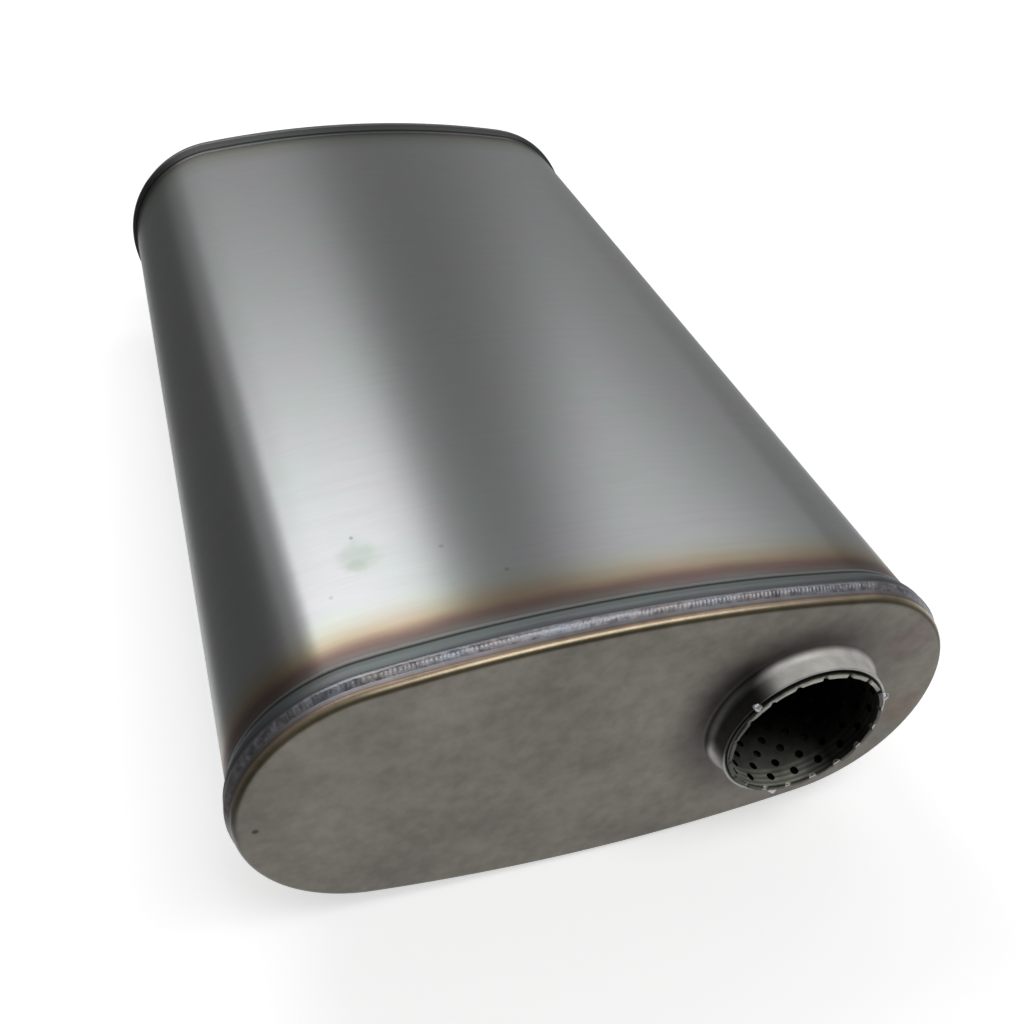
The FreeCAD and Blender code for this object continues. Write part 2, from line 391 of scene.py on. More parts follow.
def by_depth(tree, depth, span, stops):
    """The colour at a depth, from stops that start with metres behind the face of the end cap."""
    start, end = span
    share = between(tree, depth, start, end)
    return ramp(tree, share, [((at - start) / (end - start), *colour) for at, *colour in stops])


# Brushing: fine lines that run one way over the metal, with a few coarser ones among them
brushing, given, made = new_group(
    "brushing",
    [("Scale", "Vector", (40, 2600, 40)), ("Coarse Share", "Float", 0.4)],
    [("Height", "Float")],
)
stretched = vector_maths(brushing, "MULTIPLY", on_muffler(brushing), given.outputs["Scale"])
fine = mottle(brushing, stretched, scale=1.0, detail=1.0, roughness=0.5)
coarse = mottle(brushing, stretched, scale=0.23, detail=2.0, roughness=0.5)
both = add_node(brushing, "Mix", {0: given.outputs["Coarse Share"], 2: fine, 3: coarse}, data_type="FLOAT")
feed(brushing, made, {"Height": both.outputs[0]})

# Depth: how far a point lies behind the face of the nearer end cap, in metres, with a wandering edge
end_depth, given, made = new_group(
    "end_depth",
    [("Wander", "Float", 0.002), ("Wander Scale", "Float", 30.0)],
    [("Depth", "Float")],
)
place = on_muffler(end_depth)
from_middle = maths(end_depth, "ABSOLUTE", add_node(end_depth, "SeparateXYZ", {0: place}).outputs["Y"])
depth = maths(end_depth, "SUBTRACT", half_length, from_middle)
ripple = mottle(end_depth, place, given.outputs["Wander Scale"], detail=3.0, roughness=0.55)
centred = maths(end_depth, "SUBTRACT", ripple, 0.5)
wandering = maths(end_depth, "MULTIPLY_ADD", centred, given.outputs["Wander"], depth)
feed(end_depth, made, {"Depth": wandering})

# Clouding: soft patches of two tints that old handling and heat leave on bare steel
clouding, given, made = new_group(
    "clouding",
    [
        ("Colour", "Color", (0.5, 0.5, 0.5, 1)),
        ("First Tint", "Color", (1, 1, 1, 1)),
        ("Second Tint", "Color", (1, 1, 1, 1)),
        ("Scale", "Float", 12.0),
    ],
    [("Colour", "Color"), ("Patch", "Float")],
)
patches = mottle(clouding, on_muffler(clouding), given.outputs["Scale"], detail=4.0, roughness=0.6)
patch = between(clouding, patches, 0.35, 0.65)
tints = laid_over(clouding, given.outputs["First Tint"], given.outputs["Second Tint"], patch, "MIX")
feed(clouding, made, {"Colour": laid_over(clouding, given.outputs["Colour"], tints), "Patch": patch})

# Stain: a blurred mark with a ragged outline round one place
stain, given, made = new_group(
    "stain",
    [("Centre", "Vector", (0, 0, 0)), ("Radius", "Float", 0.004)],
    [("Mask", "Float")],
)
place = on_muffler(stain)
away = vector_maths(stain, "DISTANCE", place, given.outputs["Centre"])
ragged = mottle(stain, place, scale=260.0, detail=3.0, roughness=0.6)
ragged = between(stain, ragged, 0.0, 1.0, low=0.55, high=1.45)
share = maths(stain, "DIVIDE", maths(stain, "MULTIPLY", away, ragged), given.outputs["Radius"])
feed(stain, made, {"Mask": between(stain, share, 1.0, 0.35, soft=True)})

# Pits: small dark specks scattered over a surface
pits, given, made = new_group(
    "pits",
    [("Scale", "Float", 70.0), ("Share", "Float", 0.2), ("Radius", "Float", 0.0004)],
    [("Mask", "Float")],
)
cells = add_node(pits, "TexVoronoi", {"Vector": on_muffler(pits), "Scale": given.outputs["Scale"]}).outputs
metres = maths(pits, "DIVIDE", cells["Distance"], given.outputs["Scale"])
small = between(pits, metres, 0.0, given.outputs["Radius"], low=1.0, high=0.0, soft=True)
draw = add_node(pits, "SeparateXYZ", {0: cells["Color"]}).outputs["X"]
chosen = maths(pits, "LESS_THAN", draw, given.outputs["Share"])
feed(pits, made, {"Mask": maths(pits, "MULTIPLY", small, chosen)})

# Marks of use on the shell: centre, radius and what the steel's colour is multiplied by
stains = (
    ((-0.0682, -0.1350, 0.0998), 0.0085, (0.84, 0.89, 0.83)),
    ((-0.0690, -0.1385, 0.0998), 0.0040, (0.88, 0.92, 0.86)),
    ((-0.0682, -0.1262, 0.0998), 0.0009, (0.62, 0.62, 0.62)),
    ((-0.0786, -0.1484, 0.0980), 0.0009, (0.80, 0.80, 0.80)),
    ((-0.0439, -0.1390, 0.1027), 0.0012, (0.76, 0.76, 0.76)),
    ((-0.0285, -0.1543, 0.1038), 0.0012, (0.78, 0.78, 0.76)),
)

# Tints that the weld leaves on the shell, by metres behind the face of the end cap
tint_span = (0.0, 0.036)
shell_tints = (
    (0.0000, 0.34, 0.36, 0.38),
    (0.0076, 0.36, 0.36, 0.39),
    (0.0086, 0.50, 0.53, 0.53),
    (0.0105, 0.58, 0.62, 0.61),
    (0.0122, 0.52, 0.55, 0.54),
    (0.0140, 0.64, 0.60, 0.58),
    (0.0155, 0.54, 0.44, 0.41),
    (0.0170, 0.50, 0.35, 0.32),
    (0.0185, 0.56, 0.37, 0.31),
    (0.0200, 0.70, 0.50, 0.38),
    (0.0218, 0.82, 0.64, 0.46),
    (0.0240, 0.90, 0.77, 0.60),
    (0.0270, 0.96, 0.90, 0.77),
    (0.0300, 0.98, 0.97, 0.90),
    (0.0345, 1.00, 1.00, 1.00),
)
# At the far end the bell is darker than at the near end, and the tint is a dull olive
rear_tints = (
    (0.0000, 0.20, 0.205, 0.20),
    (0.0120, 0.22, 0.225, 0.22),
    (0.0150, 0.30, 0.30, 0.28),
    (0.0175, 0.52, 0.50, 0.45),
    (0.0210, 0.72, 0.72, 0.64),
    (0.0270, 0.88, 0.90, 0.84),
    (0.0345, 1.00, 1.00, 1.00),
)
# The fold at the foot of the bell, painted into the colour: a dark line of painted shade, a light line of
# painted highlight, and a darker band beyond them
painted_fold_shading = (
    (0.0000, 1.00),
    (0.0117, 1.00),
    (0.0122, 0.30),
    (0.0129, 0.30),
    (0.0134, 1.20),
    (0.0142, 1.20),
    (0.0147, 0.72),
    (0.0158, 0.86),
    (0.0220, 1.00),
)
# How dull the same zones are: the belled end is scaled by the weld's heat
shell_dullness = (
    (0.0000, 0.52),
    (0.0120, 0.50),
    (0.0150, 0.40),
    (0.0230, 0.30),
)
# The deepest lines of the brushing are this much duller than the highest
uneven_by = 0.06
shell_colour = (0.40, 0.405, 0.41, 1)
pit_shade = (0.72, 0.72, 0.70, 1)
brushed_streaks = ((0.3, 0.94), (0.7, 1.0))

shell_metal, shader = new_material("brushed_shell")
tree = shell_metal.node_tree
cloudy = place_group(
    tree, clouding, Colour=shell_colour, Scale=44.0,
    First_Tint=(0.94, 1.0, 0.97, 1), Second_Tint=(0.99, 0.965, 0.985, 1),
)
brushed = place_group(tree, brushing, Scale=(90, 1700, 90), Coarse_Share=0.55).outputs["Height"]
wandering = place_group(tree, end_depth, Wander=0.0045, Wander_Scale=24.0).outputs["Depth"]
straight = place_group(tree, end_depth, Wander=0.0004, Wander_Scale=90.0).outputs["Depth"]
front_tint = by_depth(tree, wandering, tint_span, shell_tints)
rear_tint = by_depth(tree, wandering, tint_span, rear_tints)
along = add_node(tree, "SeparateXYZ", {0: on_muffler(tree)}).outputs["Y"]
end_tint = laid_over(tree, front_tint, rear_tint, maths(tree, "GREATER_THAN", along, 0.0), "MIX")
# Painted shade and painted highlight along the fold at the bell's foot
fold = by_depth(tree, straight, tint_span, painted_fold_shading)
coloured = cloudy.outputs["Colour"]
for layer in (end_tint, fold, ramp(tree, brushed, brushed_streaks)):
    coloured = laid_over(tree, coloured, layer)
for centre, radius, shade in stains:
    spot = place_group(tree, stain, Centre=centre, Radius=radius)
    coloured = laid_over(tree, coloured, (*shade, 1), spot.outputs["Mask"])
pitted = place_group(tree, pits, Scale=70.0, Share=0.22, Radius=0.00035)
coloured = laid_over(tree, coloured, pit_shade, pitted.outputs["Mask"])
dullness = by_depth(tree, wandering, tint_span, shell_dullness)
centred = maths(tree, "SUBTRACT", brushed, 0.5)
feed(tree, shader, {
    "Base Color": coloured,
    "Metallic": 1.0,
    "Roughness": maths(tree, "MULTIPLY_ADD", centred, -uneven_by, dullness),
    "Anisotropic": 0.7,
    "Anisotropic Rotation": 0.25,
    "Tangent": add_node(tree, "Tangent", direction_type="RADIAL", axis="Y").outputs[0],
    "Normal": relief(tree, brushed, strength=0.08, distance=0.00004),
})

shell_outside = rounded_line(
    [
        (bell_rise, bell_edge_setback, 0),
        (bell_rise, taper_start, bell_bend),
        (0, taper_end, bell_bend),
        (0, 2 * half_length - taper_end, bell_bend),
        (bell_rise, 2 * half_length - taper_start, bell_bend),
        (bell_rise, 2 * half_length - bell_edge_setback, 0),
    ]
)
shell_inside = other_side(shell_outside, shell_sheet)[::-1]
shell_mesh = bmesh.new()
sweep(shell_mesh, oval_stations(shell_stations), shell_outside + shell_inside, -1)
shell = piece_from(shell_mesh, "rolled_shell", shell_metal)
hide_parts("shell")
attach(shell, "root")


# Shell seam
# The weld that closes the rolled shell, a low rippled bead along the underside. It stops short of
# the belled ends.
bead_half_width = 0.0016
bead_height = 0.0004
bead_end_margin = 0.003
ripple_pitch = 0.0013
ripple_depth = 0.25
ripple_bow = 0.0008
seam_across = 8
# The rim beads' toes on the bell are scaled over with the bell's own grey; the seams lie deeper
toe_start = 0.0064
toe_end = 0.0069
rim_beads_end = 0.0085
toe_grey = (0.145, 0.155, 0.155, 1)

weld_metal, shader = new_material("weld_metal")
tree = weld_metal.node_tree
blued = place_group(
    tree, clouding, Colour=(0.30, 0.305, 0.315, 1), Scale=55.0,
    First_Tint=(0.84, 0.88, 0.96, 1), Second_Tint=(0.92, 0.83, 0.79, 1),
)
scaly = place_group(
    tree, clouding, Colour=blued.outputs["Colour"], Scale=420.0,
    First_Tint=(0.68, 0.68, 0.69, 1), Second_Tint=(1.38, 1.38, 1.38, 1),
)
behind = place_group(tree, end_depth, Wander=0.0010, Wander_Scale=160.0).outputs["Depth"]
on_toe = between(tree, behind, toe_start, toe_end)
on_toe = maths(tree, "MULTIPLY", on_toe, maths(tree, "LESS_THAN", behind, rim_beads_end))
grain = mottle(tree, on_muffler(tree), scale=1800.0, detail=3.0, roughness=0.6)
feed(tree, shader, {
    "Base Color": laid_over(tree, scaly.outputs["Colour"], toe_grey, on_toe, "MIX"),
    "Metallic": 1.0,
    "Roughness": between(tree, scaly.outputs["Patch"], 0.0, 1.0, low=0.34, high=0.5),
    "Normal": relief(tree, grain, strength=0.4, distance=0.0001),
})

seam_mesh = bmesh.new()
seam_end = half_length - taper_end - bead_end_margin
seam_steps = round(2 * seam_end / ripple_pitch) * 4
rows = []
for step in range(seam_steps + 1):
    along = -seam_end + 2 * seam_end * step / seam_steps
    ends = min(1, (seam_end - abs(along)) / bead_half_width)
    row = []
    for index in range(seam_across + 1):
        across = 2 * index / seam_across - 1
        crest = math.cos(math.tau * (along + ripple_bow * across**2) / ripple_pitch)
        ripple = 1 - ripple_depth + ripple_depth * crest
        rise = bead_height * (1 - across**2) * math.sqrt(max(0, ends)) * ripple
        row.append(seam_mesh.verts.new((bead_half_width * across, along, axis_height - half_height - rise)))
    rows.append(row)
for row, following in zip(rows, rows[1:]):
    for index in range(seam_across):
        seam_mesh.faces.new((row[index], row[index + 1], following[index + 1], following[index]))
rim = [edge for edge in seam_mesh.edges if len(edge.link_faces) == 1]
raised = bmesh.ops.extrude_edge_only(seam_mesh, edges=rim)
for vertex in [item for item in raised["geom"] if isinstance(item, bmesh.types.BMVert)]:
    vertex.co.z += bead_height / 2
bmesh.ops.holes_fill(seam_mesh, edges=[edge for edge in seam_mesh.edges if len(edge.link_faces) == 1])
seam = piece_from(seam_mesh, "shell_seam_bead", weld_metal)
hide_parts("shell_seam_weld")
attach(seam, "root")


# End caps
# Stamped from one sheet each: a flat oval plate with a rounded shoulder, a skirt turned back into
# the shell and a short collar drawn out for the core. The drawing has polished the collar, and its sheen is
# painted into its colour.
cap_sheet = 0.0012
lap_clearance = 0.0001
shoulder_radius = 0.0024
collar_root_radius = 0.0035
core_offset = 0.0603
core_outer_radius = 0.0266
core_clearance = 0.0003
collar_stations = 144

collar_bore_radius = core_outer_radius + core_clearance
collar_outer_radius = collar_bore_radius + cap_sheet
cap_rise = bell_rise - shell_sheet - lap_clearance
cap_flat_edge = cap_rise - shoulder_radius - cap_sheet
neck_foot_radius = collar_outer_radius + collar_root_radius + cap_sheet


def core_stations(count):
    """Evenly spaced directions round the core's axis; out is then the distance from that axis."""
    hub = Vector((core_offset, 0, axis_height))
    turns = [math.tau * index / count for index in range(count)]
    return [(hub, Vector((math.cos(turn), 0, math.sin(turn)))) for turn in turns]


# The cap's finishes by depth: the drawn collar stands in front of the face, the skirt lies behind it. Some
# of them are painted light and shade
plate_grey = (0.195, 0.187, 0.170)
cap_span = (-0.0092, 0.0092)
cap_tints_and_painted_light = (
    # Painted highlight on the collar's polished wall, then painted shade in the dark ring at its root
    (-0.00815, 0.60, 0.60, 0.59),
    (-0.00780, 0.90, 0.90, 0.885),
    (-0.00300, 0.88, 0.88, 0.865),
    (-0.00150, 0.72, 0.72, 0.71),
    (-0.00070, 0.36, 0.35, 0.34),
    (-0.00030, 0.15, 0.145, 0.145),
    (-0.00010, *plate_grey),
    (0.00005, *plate_grey),
    # Painted shade on the shoulder's rounding just behind the face
    (0.00030, 0.10, 0.085, 0.055),
    (0.00060, 0.13, 0.115, 0.08),
    (0.00100, 0.33, 0.28, 0.20),
    (0.00160, 0.47, 0.39, 0.29),
    (0.00215, 0.33, 0.25, 0.19),
    (0.00270, 0.17, 0.13, 0.12),
    (0.00310, 0.22, 0.21, 0.22),
    (0.00420, 0.26, 0.26, 0.29),
    (0.00920, 0.26, 0.26, 0.29),
)
cap_dullness = (
    (-0.0090, 0.45),
    (-0.0034, 0.40),
    (-0.0010, 0.46),
    (0.0000, 0.52),
    (0.0003, 0.54),
    (0.0010, 0.34),
    (0.0018, 0.38),
    (0.0027, 0.50),
    (0.0090, 0.50),
)
# The polished collar is satin: part of its light comes back from all round, whatever stands behind it. Its
# near-white colour is a painted highlight.
collar_satin = (-0.0014, -0.0004)
collar_metal_share = 0.12
# Painted shade: the collar is painted dark on its left side, and black where the core's gap begins, in the
# shade of the bore
collar_shade_way = (-0.94, 0, 0.34)
collar_shade_reach = (0.0205, 0.0262)
collar_painted_shade = (0.10, 0.10, 0.105, 1)
lip_gap_edge = (0.0273, 0.0275)
lip_gap_painted_shade = (0.02, 0.02, 0.02, 1)
# Marks on the plate: a dark nick near its left end and a purple cloud near its right one
plate_marks = (
    ((-0.1084, -0.1875, 0.0521), 0.0013, (0.35, 0.34, 0.33, 1)),
    ((0.0960, -0.1875, 0.0760), 0.0130, (0.88, 0.80, 0.84, 1)),
    ((0.1040, -0.1875, 0.0430), 0.0110, (0.92, 0.82, 0.78, 1)),
)
# Towards the underside the skirt shows the plate's grey instead of its tints, as painted shade on the lower
# shoulder
underside_shade_heights = (0.050, 0.078)
# Round the neck's foot the plate is darkened, most of all on its upper left: partly smoke, and partly
# painted shadow and reflection of the neck
neck_halo = (0.0300, 0.0480)
neck_smoke_and_shadow = (0.42, 0.40, 0.44, 1)
neck_halo_way = (-0.72, 0, 0.70)
neck_halo_sides = (-0.030, 0.022)
faintest_halo = 0.12
# Depths between which the neck's root gives way to the plate, for the smoke and shadow round the neck and
# for the collar's painted shade
root_to_plate = (-0.0010, -0.0002)
collar_shade_to_plate = (-0.0004, -0.0001)
rolled_streaks = ((0.3, 0.94, 0.935, 0.93), (0.7, 1.0, 1.0, 1.0))


def round_core_axis(tree):
    """A point as seen from the core's axis, and its distance from that axis."""
    from_hub = vector_maths(tree, "SUBTRACT", on_muffler(tree), (core_offset, 0, axis_height))
    return from_hub, vector_maths(tree, "LENGTH", vector_maths(tree, "MULTIPLY", from_hub, (1, 0, 1)))


cap_metal, shader = new_material("stamped_cap")
tree = cap_metal.node_tree
behind = place_group(tree, end_depth, Wander=0.0).outputs["Depth"]
height = add_node(tree, "SeparateXYZ", {0: on_muffler(tree)}).outputs["Z"]
lit_upper_side = between(tree, height, *underside_shade_heights, soft=True)
before_face = maths(tree, "SUBTRACT", 1.0, maths(tree, "GREATER_THAN", behind, 0.0))
tinted_share = maths(tree, "MAXIMUM", before_face, lit_upper_side)
tint = by_depth(tree, behind, cap_span, cap_tints_and_painted_light)
coloured = laid_over(tree, (*plate_grey, 1), tint, tinted_share, "MIX")

from_hub, reach = round_core_axis(tree)
near_neck = between(tree, reach, neck_halo[1], neck_halo[0], soft=True)
halo_way = vector_maths(tree, "DOT_PRODUCT", from_hub, neck_halo_way)
halo = maths(tree, "MULTIPLY", near_neck, between(tree, halo_way, *neck_halo_sides, low=faintest_halo))
halo = maths(tree, "MULTIPLY", halo, between(tree, behind, *root_to_plate))
# Painted shade on the collar's left side
towards_collar_shade = vector_maths(tree, "DOT_PRODUCT", from_hub, collar_shade_way)
collar_shaded = between(tree, towards_collar_shade, *collar_shade_reach, soft=True)
collar_shaded = maths(tree, "MULTIPLY", between(tree, behind, *collar_shade_to_plate, low=1.0, high=0.0), collar_shaded)
# The bore inside the collar is painted black as painted shade
in_the_gap = between(tree, reach, lip_gap_edge[1], lip_gap_edge[0])
layers = [
    (halo, neck_smoke_and_shadow, "MULTIPLY"),
    (collar_shaded, collar_painted_shade, "MULTIPLY"),
    (in_the_gap, lip_gap_painted_shade, "MIX"),
]
for centre, radius, colour in plate_marks:
    mark = place_group(tree, stain, Centre=centre, Radius=radius)
    layers.append((mark.outputs["Mask"], colour, "MULTIPLY"))
for mask, colour, way in layers:
    coloured = laid_over(tree, coloured, colour, mask, way)

on_collar = between(tree, behind, *collar_satin, low=1.0, high=0.0)
unshaded_collar = maths(tree, "SUBTRACT", on_collar, collar_shaded)
unshaded_collar = maths(tree, "SUBTRACT", unshaded_collar, in_the_gap, use_clamp=True)
patchy = place_group(
    tree, clouding, Colour=coloured, Scale=26.0,
    First_Tint=(0.86, 0.85, 0.83, 1), Second_Tint=(1.12, 1.10, 1.06, 1),
)
speckled = place_group(
    tree, clouding, Colour=patchy.outputs["Colour"], Scale=210.0,
    First_Tint=(0.91, 0.905, 0.89, 1), Second_Tint=(1.08, 1.08, 1.08, 1),
)
rolled = place_group(tree, brushing, Scale=(120, 120, 560), Coarse_Share=0.5).outputs["Height"]
feed(tree, shader, {
    "Base Color": laid_over(tree, speckled.outputs["Colour"], ramp(tree, rolled, rolled_streaks)),
    "Metallic": between(tree, unshaded_collar, 0.0, 1.0, low=1.0, high=collar_metal_share),
    "Roughness": by_depth(tree, behind, cap_span, cap_dullness),
    "Normal": relief(tree, rolled, strength=0.3, distance=0.00006),
})


def loop_edges(rings, index):
    """The closed loop of edges through one point of each ring."""
    loop = []
    for ring, following in zip(rings, rings[1:] + rings[:1]):
        loop.append(next(edge for edge in ring[index].link_edges if following[index] in edge.verts))
    return loop


def end_cap(name, node, side):
    """One stamped cap on the front end (side -1) or the rear (side 1)."""
    rim_line = rounded_line(
        [(cap_flat_edge, 0, 0), (cap_rise, 0, shoulder_radius), (cap_rise, skirt_length, 0)]
    )
    neck_line = rounded_line(
        [
            (neck_foot_radius, 0, 0),
            (collar_outer_radius, 0, collar_root_radius),
            (collar_outer_radius, -collar_height, 0),
        ]
    )
    rim_section = rim_line + other_side(rim_line, cap_sheet)[::-1]
    neck_section = neck_line + other_side(neck_line, -cap_sheet)[::-1]
    mesh = bmesh.new()
    rim_rings = sweep(mesh, oval_stations(shell_stations), rim_section, side, closed=False)
    neck_rings = sweep(mesh, core_stations(collar_stations), neck_section, side, closed=False)
    for index in (0, -1):
        edges = loop_edges(rim_rings, index) + loop_edges(neck_rings, index)
        bmesh.ops.triangle_fill(mesh, edges=edges, use_beauty=True, use_dissolve=False)
    cap = piece_from(mesh, name, cap_metal)
    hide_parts(node)
    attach(cap, "root")


end_cap("front_stamped_cap", "front_end_cap", -1)
end_cap("rear_stamped_cap", "rear_end_cap", 1)


# Rim welds
# A bead laid round each end, over the cut edge of the shell's bell and down to the cap's skirt.
# The ripples are where each drop of metal froze.
rim_weld_leg_on_cap = 0.00135
rim_weld_leg_on_shell = 0.0019
rim_weld_crown = 0.000198
rim_weld_crown_setback = 0.00045
points_per_ripple = 5
points_across = 10
ripple_height = 0.00009
# How unevenly the drops follow each other, the faintest ripple, and how far its middle runs ahead
ripple_steps = (0.6, 1.4)
faintest_ripple = 0.35
ripple_lead = 2.2
vigour_scale = 60
lump_height = 0.00012
lump_scale = 320
rim_station_count = 2250

rim_stations = oval_stations(rim_station_count)


def rim_bead(name, node, side, seed):
    """The rippled bead on the front end (side -1) or the rear (side 1)."""
    chance = random.Random(seed)
    toe_on_cap = Vector((cap_rise, bell_edge_setback - rim_weld_leg_on_cap))
    crown = Vector((bell_rise + rim_weld_crown, bell_edge_setback + rim_weld_crown_setback))
    toe_on_shell = Vector((bell_rise, bell_edge_setback + rim_weld_leg_on_shell))
    mesh = bmesh.new()
    rings = []
    phase = 0.0
    for foot, facing in rim_stations:
        phase += math.tau / points_per_ripple * chance.uniform(*ripple_steps)
        vigour = faintest_ripple + (1 - faintest_ripple) * abs(noise.noise(foot * vigour_scale))
        ring = []
        for index in range(points_across + 1):
            across = index / points_across
            point = (
                toe_on_cap * (1 - across) ** 2
                + (crown * 2 - (toe_on_cap + toe_on_shell) / 2) * 2 * across * (1 - across)
                + toe_on_shell * across**2
            )
            lag = ripple_lead * (2 * across - 1) ** 2
            ripple = math.sin(phase - lag) * ripple_height * vigour
            lump_place = foot + facing * 0.01 + Vector((0, across * 0.004, 0))
            lump = noise.noise(lump_place * lump_scale) * lump_height
            out = point.x + (ripple + lump) * math.sin(math.pi * across) ** 0.5
            place = foot + facing * min(out, crown.x)
            ring.append(mesh.verts.new((place.x, side * (half_length - point.y), place.z)))
        for out, depth in ((bell_rise, bell_edge_setback), (cap_rise, bell_edge_setback)):
            place = foot + facing * out
            ring.append(mesh.verts.new((place.x, side * (half_length - depth), place.z)))
        rings.append(ring)
    for ring, following in zip(rings, rings[1:] + rings[:1]):
        for index in range(len(ring)):
            after = (index + 1) % len(ring)
            mesh.faces.new((ring[index], ring[after], following[after], following[index]))
    bead = piece_from(mesh, name, weld_metal, sharp_angle=60)
    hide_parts(node)
    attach(bead, "root")


rim_bead("front_rim_bead", "front_rim_weld", -1, 3)
rim_bead("rear_rim_bead", "rear_rim_weld", 1, 4)


# Perforated core
# A strip punched with staggered rows of holes, rolled to a tube with a blank margin beside its
# seam. Both ends are cut through a row of holes, which leaves a notched, slightly burred edge.
core_wall = 0.0012
hole_radius = 0.0015
holes_around = 18
first_hole_angle = 0.9
row_spacing = 0.00485
cut_row_beyond_end = 0.00045
row_skew = 0.0005
row_skew_angle = 330.0
core_seam_angle = 40.9
seam_margin_angle = 5.0
edge_burr = 0.00016
edge_dip = 3 * edge_burr
burr_scale = 700
burr_seed = 5
columns = 8

core_colour = (0.235, 0.24, 0.21, 1)
hole_wall_painted_shade = (0.006, 0.006, 0.006, 1)
# The holes' walls are painted black as painted shade from just outside the bore, but not the cut edge of
# the tube
hole_wall = (core_outer_radius - core_wall + 0.00003, core_outer_radius - core_wall + 0.00012)
cut_edge = (-collar_height - 0.0003, -collar_height)
# Light inside the core painted into its colour, by metres behind the face of the end cap: a bright cut end,
# light and dark bands near the mouth, and painted shade that falls to black deeper in
core_light_span = (-0.012, 0.048)
core_painted_light = (
    (-0.0096, 1.90),
    (-0.0093, 1.90),
    (-0.0090, 0.70),
    (-0.0083, 3.00),
    (-0.0076, 1.10),
    (-0.0064, 2.80),
    (-0.0057, 1.20),
    (-0.0045, 2.60),
    (-0.0038, 1.20),
    (-0.0026, 2.20),
    (-0.0018, 1.10),
    (0.0060, 0.62),
    (0.0160, 0.14),
    (0.0300, 0.03),
    (0.0480, 0.01),
)
# Painted shade darkens one side of the bore, and beyond the collar's mouth only the top stays bright, with
# painted shade below it
shaded_side_way = (0.70, 0, 0.71)
shaded_side_fade = (-0.020, -0.003)
darkest_side = 0.05
mouth_depths = (-0.0092, -0.0088)
lit_top_heights = (0.011, 0.018)
below_top_shade = 0.22

core_metal, shader = new_material("perforated_strip")
tree = core_metal.node_tree
cloudy = place_group(
    tree, clouding, Colour=core_colour, Scale=120.0,
    First_Tint=(0.62, 0.62, 0.60, 1), Second_Tint=(1.15, 1.15, 1.12, 1),
)
drawn = place_group(tree, brushing, Scale=(260, 2200, 260), Coarse_Share=0.5).outputs["Height"]
behind = place_group(tree, end_depth, Wander=0.0).outputs["Depth"]
from_hub, reach = round_core_axis(tree)
in_shaded_hole_wall = maths(tree, "MULTIPLY", between(tree, reach, *hole_wall), between(tree, behind, *cut_edge))
side_way = vector_maths(tree, "DOT_PRODUCT", from_hub, shaded_side_way)
height = add_node(tree, "SeparateXYZ", {0: from_hub}).outputs["Z"]
lit = add_node(tree, "Mix", {
    0: between(tree, behind, *mouth_depths, low=1.0, high=0.0),
    2: between(tree, side_way, *shaded_side_fade, low=1.0, high=darkest_side),
    3: between(tree, height, *lit_top_heights, low=below_top_shade),
}, data_type="FLOAT").outputs[0]
# Painted light and shade on the core's inside
painted_core_light = vector_maths(tree, "MULTIPLY", by_depth(tree, behind, core_light_span, core_painted_light), lit)
coloured = laid_over(tree, cloudy.outputs["Colour"], painted_core_light)
feed(tree, shader, {
    "Base Color": laid_over(tree, coloured, hole_wall_painted_shade, in_shaded_hole_wall, "MIX"),
    "Metallic": 0.45,
    "Roughness": between(tree, cloudy.outputs["Patch"], 0.0, 1.0, low=0.4, high=0.55),
    "Specular IOR Level": 0.15,
    "Normal": relief(tree, drawn, strength=0.5, distance=0.0001),
})

core_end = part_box("perforated_core")[1].y
pitch = 360 / holes_around
row_count = 2 * round((core_end + cut_row_beyond_end) / row_spacing)
spacing = 2 * (core_end + cut_row_beyond_end) / row_count


def cell_border():
    """Border of one hole's cell from the middle of its right side, as shares of its half sizes."""
    top = [(1 - 2 * index / columns, 1) for index in range(columns + 1)]
    bottom = [(-x, -1) for x, _ in top]
    return [(1, 0)] + top + [(-1, 0)] + bottom


core_mesh = bmesh.new()
core_places = {}


def on_core(angle, y):
    """The vertex at an angle and a place along the tube's outside, made once and then shared."""
    skew = row_skew * math.cos(math.radians(angle - row_skew_angle)) * -y / core_end
    key = (round(angle * 1000) % 360000, round(y * 1e7))
    if key not in core_places:
        turn = math.radians(angle)
        x = core_offset + core_outer_radius * math.cos(turn)
        z = axis_height + core_outer_radius * math.sin(turn)
        core_places[key] = core_mesh.verts.new((x, y + skew, z))
    return core_places[key]


for row in range(row_count + 1):
    row_y = -core_end - cut_row_beyond_end + row * spacing
    stagger = pitch / 2 if row % 2 == 0 else 0
    for hole in range(holes_around):
        angle = first_hole_angle + stagger + hole * pitch
        border = [on_core(angle + x * pitch / 2, row_y + y * spacing / 2) for x, y in cell_border()]
        if abs((angle - core_seam_angle + 180) % 360 - 180) < seam_margin_angle:
            core_mesh.faces.new(border)
            continue
        edge = []
        for index in range(len(border)):
            turn = math.tau * index / len(border)
            across = math.degrees(hole_radius * math.cos(turn) / core_outer_radius)
            edge.append(on_core(angle + across, row_y + hole_radius * math.sin(turn)))
        for index in range(len(border)):
            after = (index + 1) % len(border)
            core_mesh.faces.new((border[index], border[after], edge[after], edge[index]))

